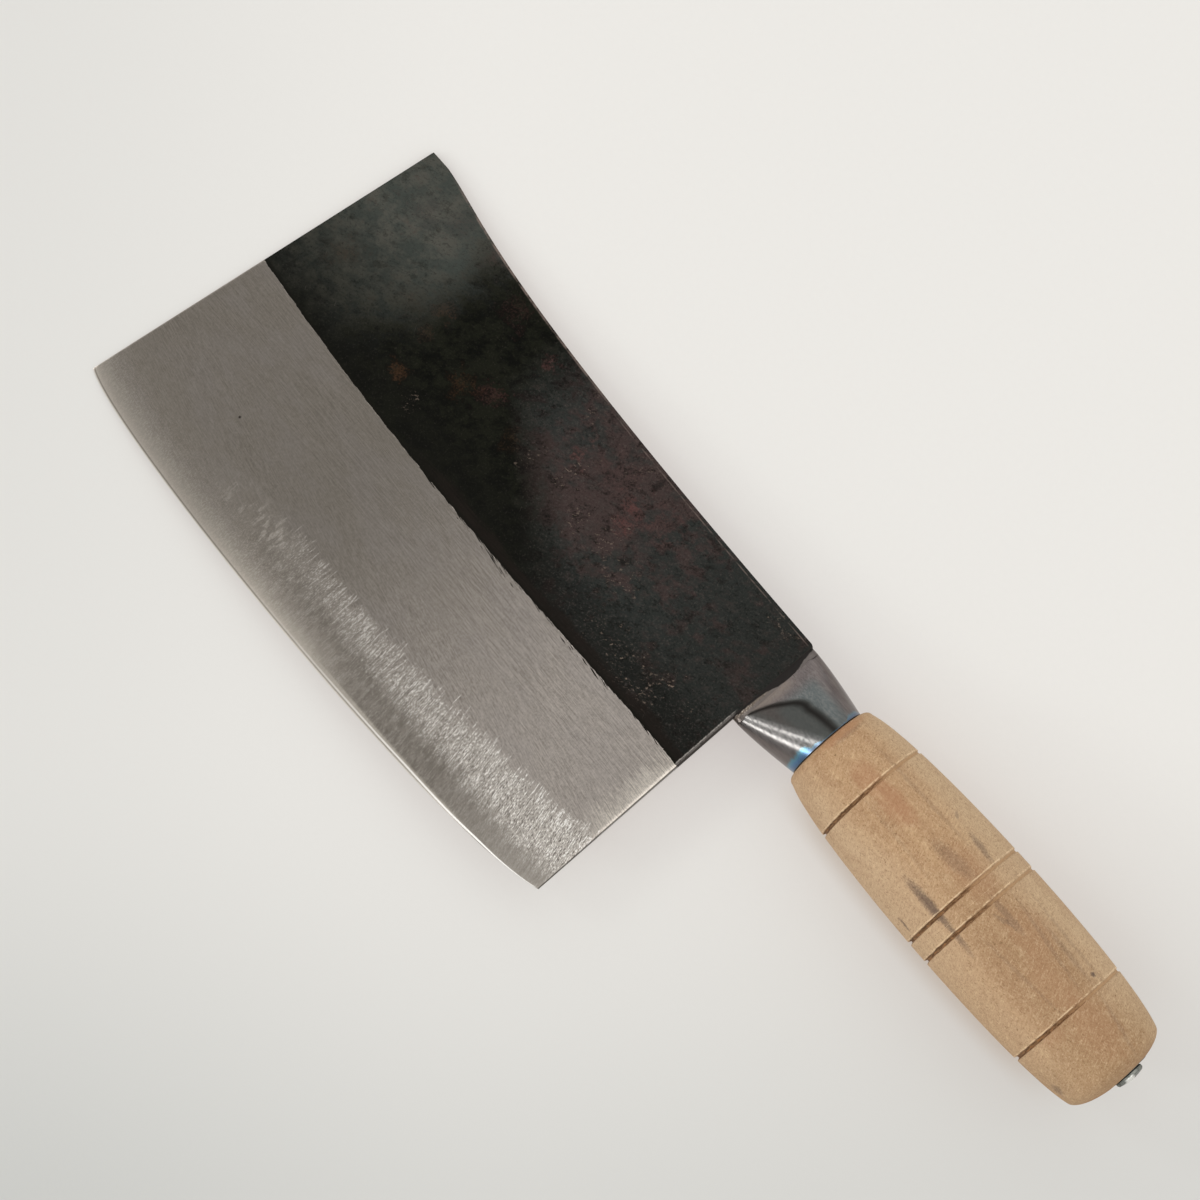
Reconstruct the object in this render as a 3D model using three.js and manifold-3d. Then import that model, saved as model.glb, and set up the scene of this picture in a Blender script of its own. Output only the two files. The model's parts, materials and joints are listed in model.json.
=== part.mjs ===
// A Chinese cleaver: a forged blade, a sheet-steel neck and a turned wooden handle on a steel rod.
// Millimetres. The knife is drawn with x along the tang axis towards the butt, from zero at the blade's
// heel, y towards the spine and z across the blade. At the end it is laid on its left face, as on a table.

import * as THREE from "three";
import { mergeVertices } from "three/addons/utils/BufferGeometryUtils.js";
import Module from "manifold-3d";

const wasm = await Module();
wasm.setup();

// Fits
const seatGap = 0.3; // between pieces that touch
const cutOverrun = 2; // how far a cutting tool runs past what it cuts

// Blade outline
const spineLength = 158.2; // heel to the front's upper corner
const frontLead = 16.6; // the front's lower corner stands ahead of the upper one
const spineHeight = 13.3; // spine above the tang axis at the heel
const spineFlare = 11.5; // rise of the spine to the front's upper corner
const flareTip = 5.7; // straight end of the flare
const edgeDrop = 76.1; // corners of the cutting edge below the tang axis
const bellyPull = 10.2; // how far the edge's curve is drawn below its corners near the heel
const nosePull = 7.2; // and near the front
const grindDrop = 31.1; // line where the ground face starts, below the tang axis
const grindRise = 5.7; // rise of that line to the front
const spineCurveShares = [0.822, 0.149, 0.892, 0.843];
const edgeCurveShares = [0.142, 0.919];
const grindCurveShares = [0.213, 0.214, 0.548, -0.546];

// Blade thickness
const heelThickness = 3.6; // at the spine
const frontThickness = 2.2; // at the spine
const grindThickness = 3.1; // at the heel, where the ground face starts
const wedgeShare = 0.55; // of the ground face's thinning, spread evenly down to the edge
const bevelPower = 5; // how late the rest of it comes, as a rounded bevel
const honeWidth = 1; // height of the honed edge
const honeThickness = 0.5;
const edgeThickness = 0.2;
const spineChamfer = 1.2; // seen from the side
const heelChamfer = 1.3;
const frontChamfer = 0.5;
const chamferShare = 0.78; // of the thickness, left at a chamfer's end

// Tongue of the blade inside the neck
const tongueThickness = 2;
const tongueRoot = 5; // inside the blade
const tongueSidePlay = 2.9; // from its edges to the neck's wall
const tongueShoulderShare = 0.4; // full width up to here, then it narrows to the stub
const stubDepth = 0.5; // stub's end inside the handle

// Neck
const weldWidth = 2; // from the heel to the neck's front rim
const neckEnd = 19.5; // the mouth, which holds the handle
const neckWall = 1.1;
const neckWidth = 26; // at the front rim
const neckStep = 0.5; // top of the front rim below the spine
const mouthDiameter = 21.5;
const tonguePlay = 0.45; // inside the flattened end
const weldCrown = 0.2; // height of the weld above a straight line from blade to neck
const flatPower = 5; // how square the flattened end is
const weldPower = 10;
const roundPower = 2;

// Handle
const handleLength = 105.9;
const shoulderStep = 2.15; // wood outside the neck's mouth
const shoulderRounding = 1.7;
const buttRadius = 13.9;
const buttDome = 4.2; // length of the rounded butt
const frontPull = 17.76; // radii that the barrel's curve is drawn towards
const buttPull = 18.8;
const pullShares = [0.123, 0.841];
const domeShares = [0.5, 0.95, 1, 0.61];
const spigotLength = 7; // nose inside the neck
const grooveShares = [0.151, 0.461, 0.5165, 0.808];
const grooveWidth = 1.2;
const grooveDepth = 0.75;
const grooveFloorShare = 0.4;

// Tang rod and butt washer
const rodDiameter = 6;
const rodShift = 1.4; // towards the spine
const headDiameter = 8.4;
const headRise = 1.7; // above the crown of the butt
const washerDiameter = 12;
const washerThickness = 1;
const washerSink = 0.5; // outer face below the crown of the butt
const washerChamfer = 0.2;
const filletLeg = 1.1; // weld between the tongue and the rod
const filletShare = 0.25; // hollow of that weld

// Fineness
const bladeColumns = 44;
const groundRows = 8;
const rowCrowding = 2; // rows of the ground face stand closer towards the edge
const roundSegments = 40;
const barrelSteps = 26;
const cornerSteps = 5;
const buttSteps = 8;
const neckSteps = 10;
const domeSteps = 6;
const searchSteps = 40;

const steel = (color, roughness) => new THREE.MeshStandardMaterial({ color, roughness, metalness: 1 });
const scaleSteel = steel(0x4a4744, 0.5);
const neckSteel = steel(0x6d7278, 0.28);
const weldSteel = steel(0x7d756c, 0.45);
const rodSteel = steel(0xa5a3a0, 0.3);
const paleWood = new THREE.MeshStandardMaterial({ color: 0xc19a70, roughness: 0.8, metalness: 0 });

const mix = THREE.MathUtils.lerp;
const point = (x, y) => new THREE.Vector2(x, y);

// A closed surface through rings of points. A tube's last ring joins its first one. Otherwise both end
// rings are closed by stitching the points of one side to those of the other.
function skin(rings, isTube) {
  const size = rings[0].length;
  const places = rings.flat().flatMap((p) => [p.x, p.y, p.z]);
  const faces = [];
  const quad = (a, b, c, d) => faces.push(a, c, b, a, d, c);
  const spans = isTube ? rings.length : rings.length - 1;
  for (let i = 0; i < spans; i++) {
    const from = i * size;
    const to = ((i + 1) % rings.length) * size;
    for (let j = 0; j < size; j++) {
      const next = (j + 1) % size;
      quad(from + j, from + next, to + next, to + j);
    }
  }
  if (!isTube) {
    const last = (rings.length - 1) * size;
    for (let j = 0; j < size / 2 - 1; j++) {
      const across = size - 1 - j;
      quad(j, across, across - 1, j + 1);
      quad(last + j, last + j + 1, last + across - 1, last + across);
    }
  }
  const geometry = new THREE.BufferGeometry();
  geometry.setAttribute("position", new THREE.Float32BufferAttribute(places, 3));
  return geometry.setIndex(faces);
}

function solidOf(geometry) {
  const plain = geometry.clone();
  plain.deleteAttribute("normal");
  plain.deleteAttribute("uv");
  const merged = mergeVertices(plain);
  const vertProperties = merged.attributes.position.array;
  const triVerts = new Uint32Array(merged.index.array);
  return new wasm.Manifold(new wasm.Mesh({ numProp: 3, vertProperties, triVerts }));
}

function geometryOf(solid) {
  const { vertProperties, triVerts } = solid.getMesh();
  const geometry = new THREE.BufferGeometry();
  geometry.setAttribute("position", new THREE.BufferAttribute(vertProperties, 3));
  geometry.setIndex(new THREE.BufferAttribute(triVerts, 1));
  geometry.computeVertexNormals();
  return geometry;
}

// Where a growing measure passes zero.
function zeroOf(measure) {
  let low = 0;
  let high = 1;
  for (let i = 0; i < searchSteps; i++) {
    const middle = (low + high) / 2;
    if (measure(middle) < 0) low = middle;
    else high = middle;
  }
  return low;
}

// Stations along the tang axis
const handleFront = neckEnd + seatGap;
const handleButt = handleFront + handleLength;
const spigotNose = handleFront - spigotLength;
const stubStart = spigotNose - seatGap;
const stubEnd = handleFront + stubDepth;
const washerFace = handleButt - washerSink;
const washerBack = washerFace - washerThickness;
const washerFloor = washerBack - seatGap;
const headSeat = washerFace + seatGap;
const headTop = handleButt + headRise;

// Neck: flattened over the tongue at the front rim, round at the mouth
const neckShift = spineHeight - neckStep - neckWidth / 2;
const rimHalf = tongueThickness / 2 + tonguePlay + neckWall;
const rodRoom = rodDiameter / 2 + neckWall + 2 * seatGap;
const roomShare = (rodRoom - rimHalf) / (mouthDiameter / 2 - rimHalf);
const rodFront = mix(weldWidth, neckEnd, roomShare); // where the neck is just high enough for the rod
const neckPart = (x) => (x - weldWidth) / (neckEnd - weldWidth);
const neckHalf = (x) => mix(rimHalf, mouthDiameter / 2, neckPart(x));

// Blade outline, each curve from the heel to the front
const upperFront = point(-spineLength, spineHeight + spineFlare);
const lowerFront = point(-spineLength - frontLead, -edgeDrop);
const flareStart = point(upperFront.x + flareTip, upperFront.y);
const grindEnd = (upperFront.y + grindDrop - grindRise) / (upperFront.y - lowerFront.y);
const grindFront = upperFront.clone().lerp(lowerFront, grindEnd);

const spineCurve = new THREE.CurvePath();
const [spineA, riseA, spineB, riseB] = spineCurveShares;
spineCurve.add(
  new THREE.CubicBezierCurve(
    point(0, spineHeight),
    point(flareStart.x * spineA, spineHeight + spineFlare * riseA),
    point(flareStart.x * spineB, spineHeight + spineFlare * riseB),
    flareStart,
  ),
);
spineCurve.add(new THREE.LineCurve(flareStart, upperFront));

const [edgeA, edgeB] = edgeCurveShares;
const edgeCurve = new THREE.CubicBezierCurve(
  point(0, -edgeDrop),
  point(lowerFront.x * edgeA, -edgeDrop - bellyPull),
  point(lowerFront.x * edgeB, -edgeDrop - nosePull),
  lowerFront,
);

const [grindA, liftA, grindB, liftB] = grindCurveShares;
const grindCurve = new THREE.CubicBezierCurve(
  point(0, -grindDrop),
  point(grindFront.x * grindA, -grindDrop + grindRise * liftA),
  point(grindFront.x * grindB, -grindDrop + grindRise * liftB),
  grindFront,
);

// The black faces are flat and taper to the front and towards the edge.
const taperDown = (heelThickness - grindThickness) / 2 / (spineHeight + grindDrop);
const taperForward =
  ((heelThickness - frontThickness) / 2 + taperDown * spineFlare) / spineLength;
function faceHalf(p) {
  return heelThickness / 2 + taperForward * p.x + taperDown * (p.y - spineHeight);
}

// Points of one section, from the spine to the cutting edge, with half the thickness as z.
function bladeSection(share) {
  const spine = spineCurve.getPointAt(share);
  const grind = grindCurve.getPointAt(share);
  const edge = edgeCurve.getPointAt(share);
  const endShare = share === 0 || share === 1 ? chamferShare : 1;
  const rows = [];
  const row = (p, half) => rows.push(new THREE.Vector3(p.x, p.y, half * endShare));
  const along = (a, b, distance) => a.clone().lerp(b, distance / a.distanceTo(b));

  row(spine, faceHalf(spine) * chamferShare);
  const belowChamfer = along(spine, grind, spineChamfer);
  row(belowChamfer, faceHalf(belowChamfer));
  row(grind, faceHalf(grind));

  const hone = along(edge, grind, honeWidth);
  for (let i = 1; i <= groundRows; i++) {
    const part = 1 - (1 - i / groundRows) ** rowCrowding;
    const thinning = mix(part ** bevelPower, part, wedgeShare);
    row(grind.clone().lerp(hone, part), mix(faceHalf(grind), honeThickness / 2, thinning));
  }
  row(edge, edgeThickness / 2);
  return rows;
}

function blade() {
  const length = edgeCurve.getLength();
  const shares = [0];
  for (let i = 0; i <= bladeColumns; i++) {
    shares.push(mix(heelChamfer / length, 1 - frontChamfer / length, i / bladeColumns));
  }
  shares.push(1);
  const rings = shares.map((share) => {
    const right = bladeSection(share);
    const left = right.map((p) => new THREE.Vector3(p.x, p.y, -p.z)).reverse();
    return [...right, ...left];
  });

  const half = neckWidth / 2 - neckWall - tongueSidePlay;
  const stubHalf = rodDiameter / 2 - seatGap;
  const narrowing = stubStart * tongueShoulderShare;
  const upper = [
    point(stubEnd, rodShift + stubHalf),
    point(stubStart, rodShift + stubHalf),
    point(narrowing, neckShift + half),
    point(-tongueRoot, neckShift + half),
  ];
  const lower = [
    point(-tongueRoot, neckShift - half),
    point(narrowing, neckShift - half),
    point(stubStart, rodShift - stubHalf),
    point(stubEnd, rodShift - stubHalf),
  ];
  const outline = new THREE.Shape([...upper, ...lower]);
  const tongue = new THREE.ExtrudeGeometry(outline, { depth: tongueThickness, bevelEnabled: false });
  tongue.translate(0, 0, -tongueThickness / 2);
  return geometryOf(solidOf(skin(rings, false)).add(solidOf(tongue)));
}

function oval(x, shift, halfWidth, halfHeight, power) {
  const bend = (value) => Math.sign(value) * Math.abs(value) ** (2 / power);
  return Array.from({ length: roundSegments }, (_, i) => {
    const angle = (2 * Math.PI * i) / roundSegments;
    return new THREE.Vector3(
      x,
      shift + halfWidth * bend(Math.cos(angle)),
      halfHeight * bend(Math.sin(angle)),
    );
  });
}

function neckRing(x, inset) {
  const part = neckPart(x);
  const halfWidth = mix(neckWidth, mouthDiameter, part) / 2 - inset;
  const power = mix(flatPower, roundPower, Math.sqrt(part));
  return oval(x, mix(neckShift, 0, part), halfWidth, neckHalf(x) - inset, power);
}

function neckSocket() {
  const rings = [];
  for (let i = 0; i <= neckSteps; i++) {
    rings.push(neckRing(mix(neckEnd, weldWidth, i / neckSteps), 0));
  }
  for (let i = 0; i <= neckSteps; i++) {
    rings.push(neckRing(mix(weldWidth, neckEnd, i / neckSteps), neckWall));
  }
  return skin(rings, true);
}

// The weld fills the groove between the heel and the neck's rim, all round the tongue.
function neckWeld() {
  const front = seatGap;
  const back = weldWidth - seatGap;
  const middle = (front + back) / 2;
  const inner = tongueThickness / 2 + seatGap;
  const outerWidth = neckWidth / 2;
  const innerWidth = outerWidth - neckWall - tongueSidePlay + 2 * seatGap;
  const bladeHalf = heelThickness / 2;
  const ring = (x, width, height) => oval(x, neckShift, width, height, weldPower);
  return skin(
    [
      ring(back, outerWidth, rimHalf),
      ring(middle, outerWidth, (bladeHalf + rimHalf) / 2 + weldCrown),
      ring(front, outerWidth, bladeHalf),
      ring(front, innerWidth, inner),
      ring(back, innerWidth, inner),
    ],
    true,
  );
}

// Handle: one turned piece of wood, drawn as a lathe profile with its radius as x and the axis as y
const shoulder = point(handleFront + shoulderRounding, mouthDiameter / 2 + shoulderStep);
const buttEdge = point(handleButt - buttDome, buttRadius);
const [frontShare, buttShare] = pullShares;
const barrel = new THREE.CubicBezierCurve(
  shoulder,
  point(mix(shoulder.x, buttEdge.x, frontShare), frontPull),
  point(mix(shoulder.x, buttEdge.x, buttShare), buttPull),
  buttEdge,
);
const barrelRadius = (x) => barrel.getPoint(zeroOf((t) => barrel.getPoint(t).x - x)).y;

function barrelProfile() {
  const stations = grooveShares.map((share) => handleFront + handleLength * share);
  const half = grooveWidth / 2;
  const floor = half * grooveFloorShare;
  const points = [];
  for (let i = 0; i <= barrelSteps; i++) {
    const x = mix(shoulder.x, buttEdge.x, i / barrelSteps);
    const isClear = stations.every((station) => Math.abs(station - x) > grooveWidth);
    if (isClear) points.push(point(barrelRadius(x), x));
  }
  for (const station of stations) {
    const bottom = barrelRadius(station) - grooveDepth;
    points.push(point(barrelRadius(station - half), station - half));
    points.push(point(bottom, station - floor));
    points.push(point(bottom, station + floor));
    points.push(point(barrelRadius(station + half), station + half));
  }
  return points.sort((a, b) => a.y - b.y);
}

function handle() {
  const innerRadius = (x) => neckHalf(x) - neckWall - seatGap;
  const corner = new THREE.QuadraticBezierCurve(
    point(shoulder.y - shoulderRounding, handleFront),
    point(shoulder.y, handleFront),
    point(shoulder.y, shoulder.x),
  );
  const [reachA, edgeShare, reachB, domeShare] = domeShares;
  const butt = new THREE.CubicBezierCurve(
    point(buttEdge.y, buttEdge.x),
    point(buttEdge.y * edgeShare, mix(buttEdge.x, handleButt, reachA)),
    point(buttEdge.y * domeShare, mix(buttEdge.x, handleButt, reachB)),
    point(0, handleButt),
  );
  const profile = [
    point(0, spigotNose),
    point(innerRadius(spigotNose), spigotNose),
    point(innerRadius(handleFront), handleFront),
    ...corner.getPoints(cornerSteps).slice(0, -1),
    ...barrelProfile(),
    ...butt.getPoints(buttSteps).slice(1),
  ];
  const wood = solidOf(new THREE.LatheGeometry(profile, roundSegments));

  const boreRadius = rodDiameter / 2 + seatGap;
  const bore = column(boreRadius, spigotNose - cutOverrun, handleButt + cutOverrun);
  const seat = column(washerDiameter / 2 + seatGap, washerFloor, handleButt + cutOverrun);
  return geometryOf(wood.subtract(bore).subtract(seat));
}

// A round cutter along the rod's axis, in the lathe's frame.
function column(radius, from, to) {
  const cylinder = new THREE.CylinderGeometry(radius, radius, to - from, roundSegments);
  return solidOf(cylinder.translate(-rodShift, (from + to) / 2, 0));
}

// Rod with its slotted front, peened over the washer at the butt
function tangRod() {
  const dome = [];
  for (let i = 0; i <= domeSteps; i++) {
    const angle = (Math.PI / 2) * (i / domeSteps);
    const radius = i === domeSteps ? 0 : (headDiameter / 2) * Math.cos(angle);
    dome.push(point(radius, mix(headSeat, headTop, Math.sin(angle))));
  }
  const profile = [
    point(0, rodFront),
    point(rodDiameter / 2, rodFront),
    point(rodDiameter / 2, headSeat),
    ...dome,
  ];
  const rod = solidOf(new THREE.LatheGeometry(profile, roundSegments));
  const slotFrom = rodFront - cutOverrun;
  const slotTo = stubEnd + seatGap;
  const slotHeight = tongueThickness + 2 * seatGap;
  const slot = new THREE.BoxGeometry(rodDiameter + cutOverrun, slotTo - slotFrom, slotHeight);
  return geometryOf(rod.subtract(solidOf(slot.translate(0, (slotFrom + slotTo) / 2, 0))));
}

function buttWasher() {
  const hole = rodDiameter / 2 + seatGap;
  const rim = washerDiameter / 2;
  const profile = [
    point(hole, washerBack),
    point(rim, washerBack),
    point(rim, washerFace - washerChamfer),
    point(rim - washerChamfer, washerFace),
    point(hole, washerFace),
    point(hole, washerBack),
  ];
  return new THREE.LatheGeometry(profile, roundSegments);
}

// A fillet of weld on one face of the tongue, in front of the rod's split end
function tangWeld() {
  const outline = new THREE.Shape();
  outline.moveTo(0, 0);
  outline.lineTo(-filletLeg, 0);
  outline.quadraticCurveTo(-filletLeg * filletShare, filletLeg * filletShare, 0, filletLeg);
  const width = rodDiameter - 4 * seatGap;
  const bead = new THREE.ExtrudeGeometry(outline, { depth: width, bevelEnabled: false });
  return bead.translate(0, 0, -width / 2);
}

const knife = new THREE.Group();
function add(name, geometry, material) {
  geometry.computeVertexNormals();
  const mesh = new THREE.Mesh(geometry, material);
  mesh.name = name;
  knife.add(mesh);
  return mesh;
}

add("blade", blade(), scaleSteel);
add("neck_weld", neckWeld(), weldSteel);
add("neck_socket", neckSocket(), neckSteel);

// A lathe turns round its y axis, so its pieces are turned onto the tang axis.
const turned = [
  add("handle", handle(), paleWood),
  add("tang_rod", tangRod(), rodSteel),
  add("butt_washer", buttWasher(), rodSteel),
];
for (const mesh of turned) mesh.rotation.z = -Math.PI / 2;
for (const mesh of turned.slice(1)) mesh.position.y = rodShift;

for (const [side, sign] of [["right", 1], ["left", -1]]) {
  const bead = add("tang_weld_" + side, tangWeld(), weldSteel);
  bead.rotation.x = (sign * Math.PI) / 2;
  const lift = tongueThickness / 2 + seatGap;
  bead.position.set(rodFront - seatGap, rodShift, sign * lift);
}

// Slopes of a table that the left face touches at both front corners and at the handle: its fall per
// length towards the butt, and its rise towards the spine.
const barrelPoints = barrelProfile();
const frontPoints = [1, 1 - frontChamfer / edgeCurve.getLength()].flatMap(bladeSection);
const upperPoints = frontPoints.filter((p) => p.y > 0);
const lowerPoints = frontPoints.filter((p) => p.y < 0);

function lowest(points, fall, rise) {
  return Math.min(...points.map((p) => fall * p.x - rise * p.y - p.z));
}

function tableRise(fall) {
  return zeroOf((rise) => lowest(lowerPoints, fall, rise) - lowest(upperPoints, fall, rise));
}

const tableFall = zeroOf((fall) => {
  const rise = tableRise(fall);
  const depths = barrelPoints.map((p) => fall * p.y - p.x * Math.hypot(1, rise));
  return Math.min(...depths) - lowest(lowerPoints, fall, rise);
});
const tableNormal = new THREE.Vector3(tableFall, -tableRise(tableFall), 1).normalize();
knife.quaternion.setFromUnitVectors(tableNormal, new THREE.Vector3(0, 0, 1));

// Origin under the middle of the whole, on the table
const cleaver = new THREE.Group();
cleaver.add(knife);
const box = new THREE.Box3().setFromObject(cleaver, true);
knife.position.set(-(box.min.x + box.max.x) / 2, -(box.min.y + box.max.y) / 2, -box.min.z);

export default cleaver;
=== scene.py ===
# A Chinese cleaver lying on a table: forged blade, pressed steel neck and turned wooden handle.
# Sizes are in millimetres along the knife's own axes, which lean a little on the table.
import json
import math

import bmesh
import bpy
import numpy as np
from mathutils import Matrix, Vector, noise


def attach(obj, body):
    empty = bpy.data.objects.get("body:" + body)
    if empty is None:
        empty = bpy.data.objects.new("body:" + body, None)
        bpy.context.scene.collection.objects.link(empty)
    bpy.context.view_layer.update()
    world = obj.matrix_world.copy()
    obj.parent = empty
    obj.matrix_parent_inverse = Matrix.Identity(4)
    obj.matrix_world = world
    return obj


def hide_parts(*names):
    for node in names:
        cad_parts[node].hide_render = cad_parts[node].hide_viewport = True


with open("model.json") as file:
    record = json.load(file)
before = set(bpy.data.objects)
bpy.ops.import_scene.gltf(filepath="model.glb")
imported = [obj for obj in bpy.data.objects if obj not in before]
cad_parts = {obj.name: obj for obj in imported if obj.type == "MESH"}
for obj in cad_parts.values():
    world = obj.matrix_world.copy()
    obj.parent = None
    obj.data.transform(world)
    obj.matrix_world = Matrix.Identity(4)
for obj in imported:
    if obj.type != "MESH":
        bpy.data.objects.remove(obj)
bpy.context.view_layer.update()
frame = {"nodes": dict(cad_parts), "record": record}


# Blade
# One forged plate of carbon steel. The upper part keeps its black forge scale, the lower part is ground
# bright along the blade, and a rounded bevel is worked across it down to the cutting edge.

MM = 0.001
spine_length = 158.2
front_lead = 16.6
spine_height = 13.3
spine_flare = 11.5
flare_tip = 5.7
edge_drop = 76.1
belly_pull = 10.2
nose_pull = 7.2
grind_drop = 31.1
grind_rise = 5.7
heel_thickness = 3.6
front_thickness = 2.2
grind_thickness = 3.1
wedge_share = 0.55
bevel_power = 5
hone_width = 1
hone_thickness = 0.5
edge_thickness = 0.2
spine_chamfer = 1.2
heel_chamfer = 1.3
heel_corner = 0.9
front_chamfer = 0.5
chamfer_share = 0.78
tongue_thickness = 2
tongue_half_width = 9
tongue_shift = -0.2
tongue_stations = (0, 4.8, 12.5, 20.3)
stub_half_width = 2.7
rod_shift = 1.4
mount_place = (-80, -7)
forge_depth = 0.07
pit_depth = 0.05
hammer_size = 13
dent_size = 5
pit_size = 1.6
wave_size = 22

spine_crown = (0.3, 0.62)
root_margin = 1
scale_margin = 2
outline_margin = 3
blade_columns = 230
chamfer_steps = 5
face_rows = 46
ground_rows = 66
curve_fineness = 400


def knife_axes():
    """The knife's own axes in the world and their origin, from the two mounts and the butt washer."""
    mounts = {mount["name"]: mount for mount in frame["record"]["mounts"]}
    right, left = mounts["right_face"], mounts["left_face"]
    across = (Vector(right["axis"]) - Vector(left["axis"])).normalized()
    middle = (Vector(right["pos_m"]) + Vector(left["pos_m"])) / 2
    washer = [v.co for v in frame["nodes"]["butt_washer"].data.vertices]
    reach = sum(washer, Vector()) / len(washer) - middle
    rise = math.asin((rod_shift - mount_place[1]) * MM / reach.length)
    along = Matrix.Rotation(-rise, 3, across) @ reach.normalized()
    up = across.cross(along)
    start = middle - (along * mount_place[0] + up * mount_place[1]) * MM
    return np.array([along, up, across]), np.array(start)


axes, knife_origin = knife_axes()


class Shell:
    """A closed skin under construction, made of rings of points along the knife's axes. Each point
    keeps its place and three marks, which the finishes read."""

    def __init__(self):
        self.points = []
        self.marks = []
        self.faces = []

    def ring(self, points, marks=None):
        first = len(self.points)
        self.points.extend(points)
        self.marks.extend(marks if marks is not None else [(0, 0, 0)] * len(points))
        return list(range(first, len(self.points)))

    def join(self, ring, other):
        """Walls between two rings."""
        self.faces.extend(zip(ring, ring[1:] + ring[:1], other[1:] + other[:1], other))

    def loop(self, rings):
        """Walls through all the rings and back to the first."""
        for ring, other in zip(rings, rings[1:] + rings[:1]):
            self.join(ring, other)

    def close(self, ring, start=0, end=None):
        """A flat end: one half of a ring stitched to its other half."""
        half = len(ring) // 2
        for j in range(start, half - 1 if end is None else end):
            self.faces.append((ring[j], ring[j + 1], ring[-2 - j], ring[-1 - j]))

    def tip(self, ring, point):
        """A round end, closed at one point."""
        (top,) = self.ring([point])
        for a, b in zip(ring, ring[1:] + ring[:1]):
            self.faces.append((a, b, top))

    def piece(self, name, node, slot, finish, crease=35):
        """Turns the skin into an object that stands for a node of the frame."""
        places = np.array(self.points, dtype=float)
        mesh = bpy.data.meshes.new(name)
        mesh.from_pydata((knife_origin + places @ axes * MM).tolist(), [], self.faces)
        for label, values in (("place", places), ("marks", np.array(self.marks, dtype=float))):
            attribute = mesh.attributes.new(label, "FLOAT_VECTOR", "POINT")
            attribute.data.foreach_set("vector", values.astype(np.float32).ravel())
        shape = bmesh.new()
        shape.from_mesh(mesh)
        bmesh.ops.recalc_face_normals(shape, faces=shape.faces)
        shape.to_mesh(mesh)
        shape.free()
        mesh.shade_smooth()
        mesh.set_sharp_from_angle(angle=math.radians(crease))
        mesh.materials.append(finish)
        made = bpy.data.objects.new(name, mesh)
        bpy.context.scene.collection.objects.link(made)
        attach(made, "root")
        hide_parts(node)
        return made


def bezier(*controls):
    """Many points on a cubic curve."""
    a, b, c, d = (np.array(control, dtype=float) for control in controls)
    t = np.linspace(0, 1, curve_fineness)[:, None]
    return a * (1 - t) ** 3 + 3 * b * t * (1 - t) ** 2 + 3 * c * t**2 * (1 - t) + d * t**3


def spread(curve, shares):
    """Points at shares of a curve's length."""
    steps = np.linalg.norm(np.diff(curve, axis=0), axis=1)
    lengths = np.concatenate([[0], np.cumsum(steps)])
    wanted = np.array(shares) * lengths[-1]
    return np.stack([np.interp(wanted, lengths, curve[:, i]) for i in range(2)], axis=1)


def ripple(place, size, seed):
    """Smooth noise between -1 and 1 at a place."""
    return noise.noise(Vector(place) / size + Vector((seed, seed, seed)))


def mix(a, b, share):
    return a + (b - a) * share


# A rounded edge: how far in each step lies, and its share of the full thickness
rounding = []
for i in range(chamfer_steps):
    turn = math.pi / 2 * i / chamfer_steps
    rounding.append((1 - math.cos(turn), mix(chamfer_share, 1, math.sin(turn))))

flare_x = flare_tip - spine_length
flare_y = spine_height + spine_flare
lower_x = -spine_length - front_lead
grind_y = -grind_drop + grind_rise
grind_x = mix(-spine_length, lower_x, (flare_y - grind_y) / (flare_y + edge_drop))

spine_curve = bezier(
    (0, spine_height),
    (flare_x * 0.822, spine_height + spine_flare * 0.149),
    (flare_x * 0.892, spine_height + spine_flare * 0.843),
    (flare_x, flare_y),
)
spine_curve = np.vstack([spine_curve, (-spine_length, flare_y)])
edge_curve = bezier(
    (0, -edge_drop),
    (lower_x * 0.142, -edge_drop - belly_pull),
    (lower_x * 0.919, -edge_drop - nose_pull),
    (lower_x, -edge_drop),
)
grind_curve = bezier(
    (0, -grind_drop),
    (grind_x * 0.213, -grind_drop + grind_rise * 0.214),
    (grind_x * 0.548, -grind_drop - grind_rise * 0.546),
    (grind_x, grind_y),
)

taper_down = (heel_thickness - grind_thickness) / 2 / (spine_height + grind_drop)
taper_forward = ((heel_thickness - front_thickness) / 2 + taper_down * spine_flare) / spine_length


def face_half(p):
    """Half the thickness of the black upper part, which is flat on both sides."""
    return heel_thickness / 2 + taper_forward * p[0] + taper_down * (p[1] - spine_height)


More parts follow.
